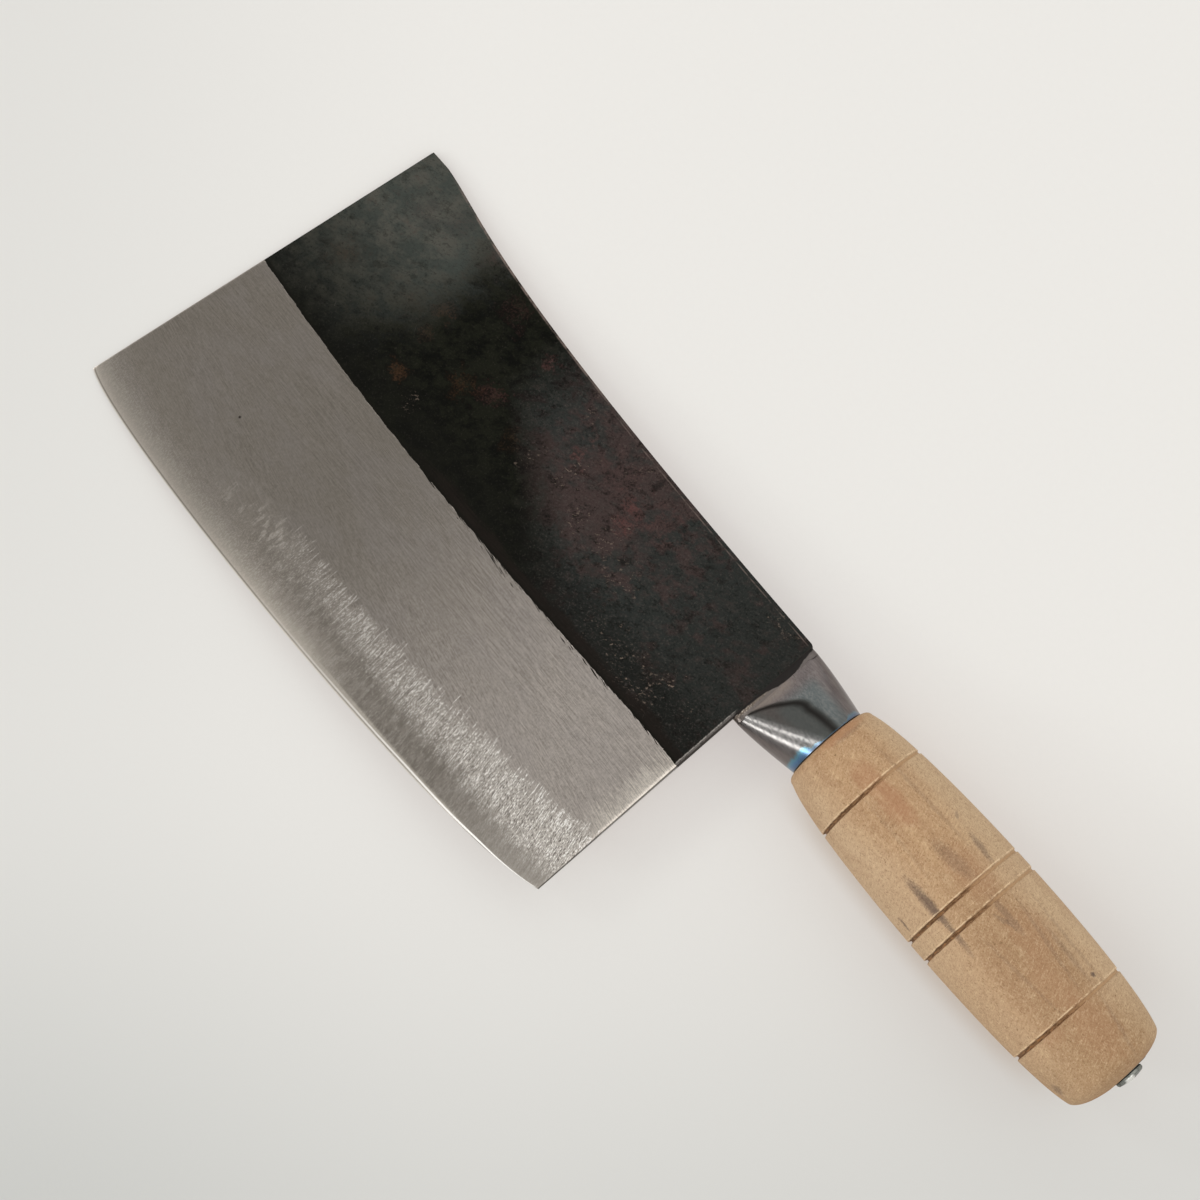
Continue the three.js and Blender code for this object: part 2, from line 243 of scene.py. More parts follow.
def blade_column(share, end_factor):
    """Places and marks down the right side at a share of the blade's length. The marks are the
    distances below the grind line, above the cutting edge and below the spine."""
    spine, grind, edge = (spread(c, [share])[0] for c in (spine_curve, grind_curve, edge_curve))
    near_heel = max(1 + spine[0] / heel_corner, 0)
    spine = spine - np.array([0, heel_corner * (1 - math.sqrt(1 - near_heel**2))])
    upper = np.linalg.norm(grind - spine)
    lower = np.linalg.norm(edge - grind)
    rows = [(spine, face_half(spine) * crown) for crown in spine_crown]
    for inward, thick in rounding:
        p = mix(spine, grind, spine_chamfer / upper * inward)
        rows.append((p, face_half(p) * thick))
    for part in np.linspace(spine_chamfer / upper, 1, face_rows):
        p = mix(spine, grind, part)
        rows.append((p, face_half(p)))
    hone = mix(edge, grind, hone_width / lower)
    for part in np.linspace(0, 1, ground_rows)[1:]:
        thinning = mix(part**bevel_power, part, wedge_share)
        rows.append((mix(grind, hone, part), mix(face_half(grind), hone_thickness / 2, thinning)))
    for part in (0.5, 1):
        rows.append((mix(hone, edge, part), mix(hone_thickness, edge_thickness, part) / 2))
    places = [(p[0], p[1], half * end_factor) for p, half in rows]
    marks = []
    for p, _ in rows:
        below_spine = np.linalg.norm(p - spine)
        marks.append((below_spine - upper, np.linalg.norm(p - edge), below_spine))
    return places, marks


def forge(place, mark):
    """Sinks a place of the black part by the hammer's marks and small pits, and the ground part by
    a faint waviness."""
    x, y, z = place
    black = 1 - min(max(mark[0] / scale_margin + 1, 0), 1)
    inside = min(mark[2] / outline_margin, 1) * min(mark[1] / outline_margin, 1)
    dents = ripple(place, hammer_size, 3) + 0.5 * ripple(place, dent_size, 7)
    hammered = (dents + 1.5) / 3 * forge_depth
    pits = max(ripple(place, pit_size, 11) - 0.25, 0) * pit_depth
    wave = (ripple(place, wave_size, 5) + 1) / 2 * forge_depth / 5
    sink = inside * mix(wave, hammered + pits, black)
    return x, y, z - math.copysign(min(sink, abs(z) / 2), z)


def blade_shell():
    length = np.linalg.norm(np.diff(edge_curve, axis=0), axis=1).sum()
    heel_share, front_share = heel_chamfer / length, front_chamfer / length
    columns = [(heel_share * inward, thick) for inward, thick in rounding]
    columns += [(share, 1) for share in np.linspace(heel_share, 1 - front_share, blade_columns)]
    columns += [(1 - front_share * inward, thick) for inward, thick in reversed(rounding)]

    shell = Shell()
    rings = []
    for share, factor in columns:
        places, marks = blade_column(share, factor)
        right = [forge(place, mark) for place, mark in zip(places, marks)]
        under = [(x, y, -z) for x, y, z in places]
        left = [forge(place, mark) for place, mark in zip(under, marks)]
        rings.append(shell.ring(right + left[::-1], marks + marks[::-1]))
    for ring, other in zip(rings, rings[1:]):
        shell.join(ring, other)
    shell.close(rings[-1])

    heel_places, heel_marks = blade_column(0, chamfer_share)
    root_half = tongue_half_width + root_margin
    top = next(j for j, p in enumerate(heel_places) if p[1] < tongue_shift + root_half)
    low = next(j for j, p in enumerate(heel_places) if p[1] < tongue_shift - root_half)
    shell.close(rings[0], 0, top)
    shell.close(rings[0], low)
    root = rings[0][top : low + 1]
    root += [rings[0][-1 - j] for j in range(low, top - 1, -1)]
    for i, station in enumerate(tongue_stations):
        ends = [tongue_shift + tongue_half_width, tongue_shift - tongue_half_width]
        if i > 1:
            ends = [rod_shift + stub_half_width, rod_shift - stub_half_width]
        heights = np.linspace(*ends, low - top + 1)
        flat = [(station, y, tongue_thickness / 2) for y in heights]
        back = [(station, y, -tongue_thickness / 2) for y in heights[::-1]]
        hidden = [heel_marks[top]] * (2 * len(flat))
        next_root = shell.ring(flat + back, hidden)
        shell.join(root, next_root)
        root = next_root
    shell.close(root)
    return shell


class Wire:
    """A socket of a finish. Arithmetic on it adds Math nodes, and node() adds any other node."""

    def __init__(self, tree, socket=None):
        self.tree = tree
        self.socket = socket

    def node(self, kind, settings=None, inputs=None, output=0):
        """A node of a type, with its settings first and then the values or links of its sockets."""
        made = self.tree.nodes.new(kind)
        for name, value in (settings or {}).items():
            if name == "stops":
                stops = made.color_ramp.elements
                while len(stops) < len(value):
                    stops.new(1)
                for stop, (position, color) in zip(stops, value):
                    stop.position = position
                    stop.color = color
            else:
                setattr(made, name, value)
        for name, value in (inputs or {}).items():
            if isinstance(value, Wire):
                self.tree.links.new(value.socket, made.inputs[name])
            else:
                made.inputs[name].default_value = value
        return Wire(self.tree, made.outputs[output]) if made.outputs else made

    def math(self, operation, *values):
        return self.node("ShaderNodeMath", {"operation": operation}, dict(enumerate(values)))

    def __add__(self, other):
        return self.math("ADD", self, other)

    def __sub__(self, other):
        return self.math("SUBTRACT", self, other)

    def __rsub__(self, other):
        return self.math("SUBTRACT", other, self)

    def __mul__(self, other):
        return self.math("MULTIPLY", self, other)

    def __truediv__(self, other):
        return self.math("DIVIDE", self, other)

    def __pow__(self, other):
        return self.math("POWER", self, other)

    __radd__ = __add__
    __rmul__ = __mul__

    def spanned(self, course, start, end):
        ends = {"Value": self, "From Min": start, "From Max": end}
        return self.node("ShaderNodeMapRange", {"interpolation_type": course}, ends)

    def fade(self, start, end):
        """Goes smoothly from 0 at start to 1 at end."""
        return self.spanned("SMOOTHSTEP", start, end)

    def ramp(self, start, end):
        """Goes straight from 0 at start to 1 at end."""
        return self.spanned("LINEAR", start, end)

    def within(self, low, high, soft):
        """1 between two values, fading over a soft width on both sides."""
        return self.fade(low - soft, low + soft) * self.fade(high + soft, high - soft)

    def part(self, axis):
        return self.node("ShaderNodeSeparateXYZ", None, {0: self}, axis)

    def stretched(self, *factors):
        return self.node("ShaderNodeVectorMath", {"operation": "MULTIPLY"}, {0: self, 1: factors})

    def against(self, operation, vector):
        """One number from a place or direction and a fixed one."""
        both = {0: self, 1: vector}
        return self.node("ShaderNodeVectorMath", {"operation": operation}, both, "Value")

    def grain(self, size, detail=2.0, roughness=0.5, stretch=(1, 1, 1), seed=0.0):
        """Noise about 0.5 whose spots are about one size across, longer where stretch is over 1."""
        factors = [1 / (size * s) for s in stretch]
        spots = {"Vector": self.stretched(*factors), "W": seed, "Detail": detail}
        settings = {"noise_dimensions": "4D"}
        return self.node("ShaderNodeTexNoise", settings, {**spots, "Scale": 1.0, "Roughness": roughness})


def blend(mask, first, second):
    """A colour that goes from the first to the second as the mask goes from 0 to 1."""
    sockets = {"Factor": mask, 6: first, 7: second}
    return mask.node("ShaderNodeMix", {"data_type": "RGBA"}, sockets, 2)


def tone(red, green, blue):
    """A colour as the eye reads it, from 0 to 255, as light."""
    levels = [value / 255 for value in (red, green, blue)]
    light = [v / 12.92 if v < 0.04045 else ((v + 0.055) / 1.055) ** 2.4 for v in levels]
    return (*light, 1.0)


def painted(color, *layers):
    """A colour with more tones laid over it in turn, each by its mask."""
    for mask, levels in layers:
        color = blend(mask, color, tone(*levels))
    return color


def emptied(holder):
    """The start of a material's or a room's nodes, with none in it."""
    holder.use_nodes = True
    holder.node_tree.nodes.clear()
    return Wire(holder.node_tree)


def new_finish(name):
    """An empty material, with the knife's places and the piece's marks."""
    material = bpy.data.materials.new(name)
    start = emptied(material)
    place, marks = (
        start.node("ShaderNodeAttribute", {"attribute_name": label}, output="Vector")
        for label in ("place", "marks")
    )
    return material, place, marks


def coat(wire, inputs, height=None, depth=0.1):
    """The surface of a finish. Height adds a relief of some millimetres."""
    if height is not None:
        relief = {"Height": height, "Distance": depth * MM, "Strength": 1.0}
        inputs["Normal"] = wire.node("ShaderNodeBump", None, relief)
    surface = wire.node("ShaderNodeBsdfPrincipled", None, inputs)
    wire.node("ShaderNodeOutputMaterial", None, {"Surface": surface})


# Patches of the scale: along and across the knife, radius and strength
red_patches = (
    (-147, 14, 4, 0.35), (-140, 18, 4, 0.3), (-127, 18, 4, 0.5), (-113, 15, 4, 0.35), (-97, 11, 3, 0.8),
    (-100, -5, 4, 0.6), (-75, 7, 2.5, 0.5), (-75, 1, 2.5, 0.9), (-55, 3, 3.5, 0.9), (-53.5, -2, 2.5, 0.9),
    (-47, 4, 5, 0.3), (-64, 4, 6, 0.2),
)
orange_patches = (
    (-121.5, -18.5, 2.5, 0.9), (-108, -8, 3.5, 0.6), (-154, -9, 4, 0.4), (-125, -1, 3, 0.6),
    (-133, -4, 3, 0.4), (-124, -6, 3, 0.4), (-89, -8, 3, 0.3),
)
fleck_patches = (
    (-72, -1.3, 3.2, 0.9), (-82, -8, 3, 0.4), (-52, -8.5, 5, 0.6), (-44, -9, 5, 0.6), (-62, -9.5, 4, 0.5),
    (-39, -23, 4, 0.5), (-30, -24, 5, 0.8), (-20, -25, 5, 0.9), (-80, 12.5, 3, 0.5), (-60, 13, 5, 0.3),
    (-10, 12, 4, 0.7), (-9, -19, 2.5, 0.5), (-113, -21.5, 2.5, 0.4),
)
# One dark speck on the ground steel, in the same form
steel_dot = ((-139.5, -56, 0.45, 0.85),)


def leaning(place, along, across):
    """The places pushed along and across the knife, so that a stretched grain runs at a slant."""
    pushed = place.node("ShaderNodeCombineXYZ", None, {"X": along, "Y": across})
    return place.node("ShaderNodeVectorMath", {"operation": "ADD"}, {0: place, 1: pushed})


def patches(place, wobble, spots):
    """1 inside loose round spots, given along and across the knife."""
    total = None
    for x, y, radius, strength in spots:
        reach = place.stretched(1, 1, 0).against("DISTANCE", (x, y, 0))
        spot = (reach + wobble * radius).fade(radius * 1.15, radius * 0.35) * strength
        total = spot if total is None else total.math("MAXIMUM", total, spot)
    return total


def forged_and_ground():
    """Black scale above the grind line and bright steel below it."""
    material, place, marks = new_finish("forged_and_ground")
    below_grind, above_edge, below_spine = (marks.part(i) for i in range(3))
    x, y = place.part(0), place.part(1)

    # Scale
    cloud = place.grain(24, 2, 0.5, seed=2)
    patch = leaning(place, 0, x * -0.2).grain(4.5, 5, 0.68, (1.3, 1, 1), 8)
    mottle = leaning(place, 0, x * -0.3).grain(2.6, 5, 0.72, (1.2, 1, 1), 14)
    speck = place.grain(0.55, 3, 0.7, seed=5)
    fibres = leaning(place, 0, x * -0.3).grain(0.6, 3, 0.7, (2.2, 1, 1), 33)
    chip = leaning(place, 0, x * -0.4).grain(0.7, 3, 0.65, (1.5, 1, 1), 31).fade(0.57, 0.64)
    blotch = mottle * 0.5 + patch * 0.5
    wobble = (cloud - 0.5) * 22 + (patch - 0.5) * 30
    heelward = (x + y.math("MINIMUM", y, 0) * 1.3 + wobble * 0.6).ramp(-101, -80)
    dark = blend(blotch.fade(0.43, 0.57), tone(4, 5, 2), tone(21, 22, 14))
    purple = (x + wobble).within(-92, -38, 14) * (y + wobble * 0.3).fade(-22, -4)
    kind = patch * 0.7 + mottle * 0.3 + (cloud - 0.5) * 0.4 - (purple - 0.4) * 0.1
    brown = painted(
        blend(kind.fade(0.42, 0.56), tone(59, 48, 46), tone(40, 43, 41)),
        (mottle.fade(0.49, 0.34) * 0.75, (17, 15, 13)),
        (blotch.fade(0.52, 0.64) * 0.5, (69, 57, 54)))
    pale = (x - y * 0.3 + wobble).fade(-119, -141) * (y + wobble * 0.4).ramp(-27, 8)
    smooth = painted(
        blend(patch.fade(0.38, 0.62), tone(58, 62, 58), tone(74, 73, 67)),
        (mottle.fade(0.55, 0.7) * 0.4, (68, 56, 50)),
        (mottle.fade(0.47, 0.36) * 0.5, (40, 41, 36)))
    scale = painted(
        blend(heelward, dark, brown),
        ((x + wobble * 0.5).fade(-50, 2) * 0.45, (29, 29, 26)),
        ((y + wobble * 0.2).fade(-12, -24) * 0.6, (13, 13, 9)))
    loose = (patch - 0.5) * 7 + (mottle - 0.5) * 5
    uneven = 0.15 + 0.75 * (mottle * 0.5 + speck * 0.5).fade(0.44, 0.58)
    pitted = mottle.fade(0.56, 0.42)
    scale = painted(
        blend(pale, scale, smooth),
        (patches(place, loose, red_patches) * uneven * (0.5 + 0.5 * heelward), (82, 52, 49)),
        (patches(place, loose, orange_patches) * uneven * 0.6, (70, 46, 28)),
        (speck.fade(0.48, 0.34) * (0.3 + 0.5 * pitted) * (1 - 0.6 * pale), (9, 8, 5)),
        (speck.fade(0.54, 0.7) * (0.1 + 0.26 * heelward), (88, 80, 76)),
        (fibres.fade(0.54, 0.68) * (0.02 + 0.2 * heelward + 0.12 * pale), (76, 73, 69)),
        (fibres.fade(0.46, 0.32) * 0.35, (14, 14, 12)),
        (patches(place, loose, fleck_patches) * chip * 0.7, (130, 115, 103)))

    # Scale along the grind line, the spine and the heel
    side = place.grain(7, 3, 0.6, (2.4, 1, 1), 16)
    scraped = place.grain(0.3, 2, 0.6, (22, 1, 1), 26)
    near_line = (below_grind + (side - 0.5) * 7 + (scraped - 0.5) * 2 + 2.4).fade(-2, 0.4)
    soot = blend(scraped, tone(13, 10, 7), tone(33, 27, 23))
    scale = blend(near_line * 0.85 * x.fade(-110, -84), scale, soot)
    line_shade = (below_grind + (scraped - 0.5) * 1.2).fade(-1.5, -0.3)
    worn = place.grain(4, 4, 0.7, seed=12).fade(0.34, 0.6)
    rubbed = below_spine.fade(0.75, 0.4) * worn * x.fade(-60, -100) * x.fade(-152, -138)
    grazed = below_spine.within(0.85, 1.1, 0.1) * worn * 0.7 * x.fade(-90, -60)
    scratch = leaning(place, y * 0.6, 0).grain(0.24, 1, 0.5, (1, 22, 1), 27).fade(0.76, 0.8)
    scale = painted(
        scale,
        (line_shade * 0.75, (15, 14, 9)),
        (rubbed.math("MAXIMUM", rubbed, grazed) * 0.8, (118, 104, 97)),
        (scratch * 0.3, (104, 98, 92)))
    heel_strip = (x + (speck - 0.5) * 0.5).fade(-1.05, -0.75) * above_edge.fade(66, 63)
    strip = blend(x.fade(-0.85, -0.55), tone(158, 152, 146), tone(96, 91, 88))
    scale = blend(heel_strip * (0.4 + 0.6 * speck.fade(0.42, 0.52)), scale, strip)

    # Upper part of the ground face, brushed along the blade
    level = leaning(place, 0, x * 0.03)
    brushed = leaning(place, 0, x * 0.17).grain(0.26, 2, 0.65, (9, 1, 1), 3)
    brushed = mix(brushed, level.grain(0.26, 2, 0.65, (16, 1, 1), 13), above_edge.fade(27, 36))
    lengthwise = brushed * 0.6 + speck * 0.4
    long_scratch = level.grain(0.24, 0, 0.5, (40, 1, 1), 19).fade(0.76, 0.82)
    haze = place.grain(10, 3, 0.6, (2, 1, 1), 21)
    dull = blend(lengthwise.fade(0.3, 0.7), tone(127, 120, 111), tone(157, 149, 140))
    clear = blend(lengthwise.fade(0.32, 0.68), tone(158, 149, 141), tone(212, 202, 194))
    # Painted highlight: the ground steel is made much lighter towards the heel
    painted_heel_highlight = (x + (brushed - 0.5) * 16 + (haze - 0.5) * 8).fade(-7, 1.5)
    painted_heel_highlight = painted_heel_highlight * (0.5 + 0.5 * above_edge.fade(20, 26))
    upper = painted(
        blend(x.fade(-112, -18), dull, clear),
        (haze.fade(0.4, 0.65) * 0.12, (170, 163, 163)),
        (long_scratch * 0.5 * x.fade(-80, -35), (236, 228, 219)),
        (painted_heel_highlight * (0.6 + 0.4 * speck.fade(0.4, 0.55)), (238, 229, 217)))

    # Lower part, worked across the blade, with a painted highlight band and painted glints
    tilted = leaning(place, above_edge * 0.27 * x.ramp(-85, -15), 0)
    crosswise = tilted.grain(0.27, 0, 0.5, (1, 18, 1), 7)
    cross_fine = tilted.grain(0.22, 1, 0.6, (1, 3, 1), 17)
    cross_broad = tilted.grain(1.2, 3, 0.6, (1, 2.4, 1), 6)
    top_edge = 18 + 1.4 * x.ramp(-80, -20)
    low_edge = 12 - 3 * x.ramp(-90, -30) - 3.5 * x.ramp(-30, 0)
    worked = above_edge - top_edge - (crosswise - 0.5) * 8 - (cross_broad - 0.5) * 7
    worked = worked.fade(0.8, -0.8) * (x + (cross_broad - 0.5) * 16).fade(-134, -96)
    painted_highlight_band = (above_edge - low_edge + (cross_broad - 0.5) * 6).fade(-3.6, 3.6) * x.ramp(-118, -4)
    streak = crosswise * 0.3 + cross_fine * 0.7 + (cross_broad - 0.5) * 0.2
    # The band is a painted highlight; the scratch streaks are lightened into painted glints and darkened
    # between them
    lower = painted(
        blend(cross_broad.fade(0.3, 0.7), tone(128, 121, 113), tone(144, 137, 129)),
        (x.fade(-45, 0) * 0.8, (170, 163, 155)),
        (painted_highlight_band * 0.9, (203, 195, 187)),
        (streak.fade(0.53, 0.61) * (0.08 + 0.92 * painted_highlight_band), (255, 251, 246)),
        (streak.fade(0.48, 0.37) * (0.2 + 0.6 * painted_highlight_band), (84, 77, 71)))

    # Both parts together, with painted glints, a painted reflection along the edge and thin painted
    # highlight lines at the cutting edge
    cloudy = place.grain(2.4, 3, 0.6, seed=22).fade(0.3, 0.7)
    painted_sparse_glints = x.within(-131, -106, 6) * above_edge.within(9.5, 16.5, 3) * cross_broad.fade(0.52, 0.62)
    # A lighter strip along the cutting edge is a painted reflection
    rim = above_edge.ramp(10, 1) * x.fade(-55, -85)
    rim_end = 1 + 1.3 * x.ramp(-20, -75)
    rim = rim.math("MAXIMUM", rim, (above_edge - rim_end).fade(0.5, -0.5) * x.fade(-14, -30) * 0.9)
    painted_front_glints = above_edge.ramp(14, 3) * x.fade(-86, -116) * cross_fine.fade(0.5, 0.62)
    # Painted highlight lines at the very edge and on the honed facet, with a darker line between them
    painted_edge_highlight = above_edge.fade(0.24, 0.12) * x.fade(-16, -30)
    edge_dark_line = above_edge.within(0.26, 0.62, 0.1) * x.fade(-32, -45)
    honed_painted_highlight = above_edge + 0.35 * x.fade(-48, -26) + 0.15 * x.fade(-20, -10)
    honed_painted_highlight = honed_painted_highlight.within(0.55, 1.02 - 0.35 * x.ramp(-20, 0), 0.12) * x.fade(-0.3, -1.5)
    honed_painted_highlight = honed_painted_highlight * (0.15 * x.fade(-112, -90) + 0.85 * x.ramp(-92, -24))
    steel = painted(
        blend(worked, upper, lower),
        (above_edge.ramp(20, 12) * x.fade(-108, -128) * cloudy * 0.3, (164, 156, 146)),
        (painted_sparse_glints * (0.05 + 0.45 * streak), (206, 197, 188)),
        (rim * rim * (0.5 + 0.5 * streak), (205, 196, 185)),
        (painted_front_glints * 0.35, (205, 196, 185)),
        (patches(place, 0, steel_dot), (40, 34, 34)),
        (painted_edge_highlight * 0.7, (225, 218, 208)),
        (edge_dark_line * (0.3 + 0.35 * x.fade(-70, -110)), (118, 112, 104)),
        (honed_painted_highlight, (253, 250, 245)))

    # The ragged line where the scale ends
    bite = leaning(place, 0, x * 0.16).grain(0.3, 1, 0.5, (14, 1, 1), 4)
    bite = bite.fade(0.53, 0.65) * side.fade(0.38, 0.54) * x.fade(-105, -70) * 1.5
    jagged = place.grain(1.5, 3, 0.6, (1.6, 0.7, 1), 24) * 0.9 - 0.45
    bright = (below_grind + jagged - bite + 0.15).fade(-0.07, 0.07)

    # Painted shade on the heel's end face
    painted_end_shade = x.fade(-0.35, -0.15)
    color = painted(blend(bright, scale, steel), (painted_end_shade * 0.85, (52, 48, 44)))
    scale_roughness = 0.55 + 0.25 * patch - 0.12 * pale
    steel_roughness = 0.34 + 0.1 * worked - 0.06 * lengthwise
    scale_height = patch * 1.4 + mottle * 0.9 + speck * 0.5
    scratches = lengthwise * 0.3 * (1 - worked) + crosswise * 0.8 * worked
    coat(place, {
        "Base Color": color, "Metallic": bright - 0.95 * honed_painted_highlight * honed_painted_highlight,
        "Roughness": mix(scale_roughness, steel_roughness, bright), "Specular IOR Level": 0.06,
    }, mix(scale_height, scratches * 0.3, bright), 0.08)
    return material


blade_shell().piece("forged_blade", "blade", "blade_steel", forged_and_ground())


# Tang rod
# A mild steel rod through the handle. Its slotted front straddles the blade's tongue and is welded to
# it, and its rear end is hammered over the washer into a low head.

rod_radius = 3
rod_front = 6.6
slot_half = 1.3
slot_end = 20.6
head_radius = 4.2
head_seat = 125.5
head_top = 127.4
head_edge = 0.5
rod_segments = 96
facet_tilts = ((1.2, 0.22), (2.6, 0.2), (4.1, 0.26), (5.3, 0.2))
facet_depth = 0.2
head_lip = 0.15
head_fullness = 0.9
dimple_depth = 0.03
dimple_size = 0.8


def circle(x, radius, shift, count):
    """A ring round an axis parallel to the rod's."""
    turns = [2 * math.pi * i / count for i in range(count)]
    return [(x, shift + radius * math.cos(turn), radius * math.sin(turn)) for turn in turns]


def rod_shell():
    shell = Shell()
    edge_turn = math.asin(slot_half / rod_radius)
    arc = np.linspace(edge_turn, math.pi - edge_turn, rod_segments // 2)

    def prong(x, side):
        turns = arc if side > 0 else -arc[::-1]
        return [(x, rod_shift + rod_radius * math.cos(t), rod_radius * math.sin(t)) for t in turns]

    halves = []
    for side in (1, -1):
        front = shell.ring(prong(rod_front, side))
        back = shell.ring(prong(slot_end, side))
        shell.close(front)
        shell.join(front, back)
        halves.append(back)
    upper, lower = halves
    shell.faces.append((upper[0], upper[-1], lower[0], lower[-1]))
    around = upper + lower
    turns = list(arc) + list(-arc[::-1])

    def ring(x, radius, facets=False):
        points = []
        for t in turns:
            y, z = radius * math.cos(t), radius * math.sin(t)
            cut = x
            if facets:
                for direction, tilt in facet_tilts:
                    slope = y * math.cos(direction) + z * math.sin(direction)
                    cut = min(cut, head_top - facet_depth * tilt - max(slope, -1) * tilt)
                cut += dimple_depth * ripple((x, y, z), dimple_size, 2)
            points.append((min(cut, head_top), rod_shift + y, z))
        return shell.ring(points)

    outline = [(x, rod_radius) for x in np.linspace(slot_end, head_seat, 20)[1:]]
    outline += [(head_seat, head_radius - head_lip), (head_seat + head_lip, head_radius)]
    for turn in np.linspace(0, math.pi / 2, 16)[:-1]:
        radius = head_radius * math.cos(turn) ** head_fullness
        outline.append((mix(head_seat + head_edge, head_top, math.sin(turn)), radius))
    for x, radius in outline:
        next_around = ring(x, radius, x > head_seat + head_edge)
        shell.join(around, next_around)
        around = next_around
    shell.tip(around, (head_top - facet_depth * 0.3, rod_shift, 0))
    return shell


def hammered_steel():
    """Bright mild steel with a dull skin, rubbed bright where the hammer hit it, with a painted highlight
    laid on that face.
    """
    material, place, _ = new_finish("hammered_steel")
    x, y = place.part(0), place.part(1)
    dull = place.grain(1.2, 3, 0.6)
    hammer_face_and_painted_highlight = (x + (dull - 0.5) * 0.8).fade(head_seat + 0.5, head_seat + 0.9)
    hammer_face_and_painted_highlight = hammer_face_and_painted_highlight * (y - rod_shift + (dull - 0.5) * 2).within(-1.7, 0.7, 0.4)
    color = blend(dull.fade(0.35, 0.65), tone(104, 106, 101), tone(138, 139, 133))
    color = blend(hammer_face_and_painted_highlight, color, tone(246, 245, 240))
    coat(place, {
        "Base Color": color, "Metallic": 1.0, "Roughness": 0.38 - hammer_face_and_painted_highlight * 0.12,
    }, place.grain(0.35, 2) + dull, 0.05)
    return material


rod_shell().piece("peened_rod", "tang_rod", "rod_steel", hammered_steel())


# Tang welds
# Two small fillets of weld metal that hold the rod on the tongue, one on each face. They stay as the
# frame has them, inside the neck.


def weld_metal(name, by_place):
    """Weld metal: rippled, grey-brown where it cooled and brighter where it was sanded."""
    material, place, _ = new_finish(name)
    if not by_place:
        spot = place.node("ShaderNodeTexCoord", output="Object")
        place = spot.stretched(1 / MM, 1 / MM, 1 / MM)
    lumps = place.grain(1.1, 3, 0.6)
    sanded = place.grain(0.25, 2, 0.6, (6, 1, 1), 3)
    color = painted(
        blend(lumps.fade(0.35, 0.65), tone(98, 88, 80), tone(122, 112, 104)),
        (sanded.fade(0.55, 0.68) * 0.5, (168, 156, 144)))
    metal = 1.0
    if by_place:
        x, y = place.part(0), place.part(1)
        hump = ((y - 3.5) / 6.0) ** 2 * -1
        covered = 0.3 + 1.8 * hump.math("EXPONENT", hump)
        plain = (x + (lumps - 0.5) * 1.2).fade(0.8, 1.4)
        black = (x - covered + (lumps - 0.5) * 0.9).fade(0.1, -0.1)
        color = painted(
            color,
            ((y + (lumps - 0.5) * 4).fade(1, 6) * 0.85, (104, 98, 96)),
            (y.fade(-5, -9) * sanded.fade(0.5, 0.6) * 0.8, (196, 184, 170)),
            (plain * 0.85, (110, 103, 100)),
            (black, (30, 26, 24)))
        metal = 1 - black
        lumps = lumps * (1 - 0.7 * plain)
        sanded = sanded * (1 - 0.5 * plain)
    coat(place, {
        "Base Color": color, "Metallic": metal, "Roughness": 0.24 + 0.4 * lumps,
        "Specular IOR Level": 0.14,
    }, lumps * 0.6 + sanded * 0.5, 0.12)
    return material


bead_finish = weld_metal("weld_bead", False)
for side in ("right", "left"):
    bead = frame["nodes"]["tang_weld_" + side]
    bead.data.materials.clear()
    bead.data.materials.append(bead_finish)


# Neck weld
# Weld metal that fills the groove between the blade's heel and the neck's rim, all round the tongue.
# It is sanded nearly flush, with a few drops left at the heel side.

neck_shift = -0.2
neck_half_width = 13
weld_width = 2
weld_overlap = 0.15
rim_half = 2.55
weld_corner = 1.6
weld_inset = 0.1
weld_swell = 0.05
drop_start = 9
weld_segments = 240
weld_steps = 9


def stadium(x, shift, half_width, half_height, radius, count):
    """A ring shaped as a rectangle with rounded corners, spread by its outline's length."""
    radius = min(radius, half_height)
    flat = half_width - radius
    rise = half_height - radius
    corners = [(flat, rise), (-flat, rise), (-flat, -rise), (flat, -rise)]
    outline = []
    for i, (y, z) in enumerate(corners):
        for turn in np.linspace(i * math.pi / 2, (i + 1) * math.pi / 2, 24):
            outline.append((y + radius * math.cos(turn), z + radius * math.sin(turn)))
    outline = np.array(outline + outline[:1])
    around = spread(outline, np.arange(count) / count)
    return [(x, shift + y, z) for y, z in around]


def weld_shell():
    shell = Shell()
    inner_half = tongue_thickness / 2 + weld_inset
    stations = np.linspace(-weld_overlap, weld_width + weld_overlap, weld_steps)
    rings = []
    for x in stations:
        part = (x + weld_overlap) / (weld_width + 2 * weld_overlap)
        half = mix(heel_thickness / 2 * chamfer_share + weld_inset, rim_half - weld_inset / 2, part)
        edge = math.sin(math.pi * part)
        points = []
        for px, y, z in stadium(x, neck_shift, neck_half_width, half, weld_corner, weld_segments):
            drops = max(-y - drop_start, 0) / (neck_half_width - drop_start)
            lump = max(ripple((px, y, z), 1.3, 4), 0) * (0.12 + 0.5 * drops)
            points.append((px, y, z * (1 + edge * (weld_swell + lump * 0.3))))
        rings.append(shell.ring(points))
    for x in (stations[-1], stations[0]):
        hole = stadium(x, neck_shift, tongue_half_width + 0.4, inner_half, 0.3, weld_segments)
        rings.append(shell.ring(hole))
    shell.loop(rings)
    return shell


weld_shell().piece("sanded_neck_weld", "neck_weld", "weld_steel", weld_metal("neck_weld_metal", True))


# Neck
# A sleeve of sheet steel, pressed flat over the tongue in front and left round at the mouth, where it
# takes the handle. It is polished, and welding heat has tinted its mouth blue.

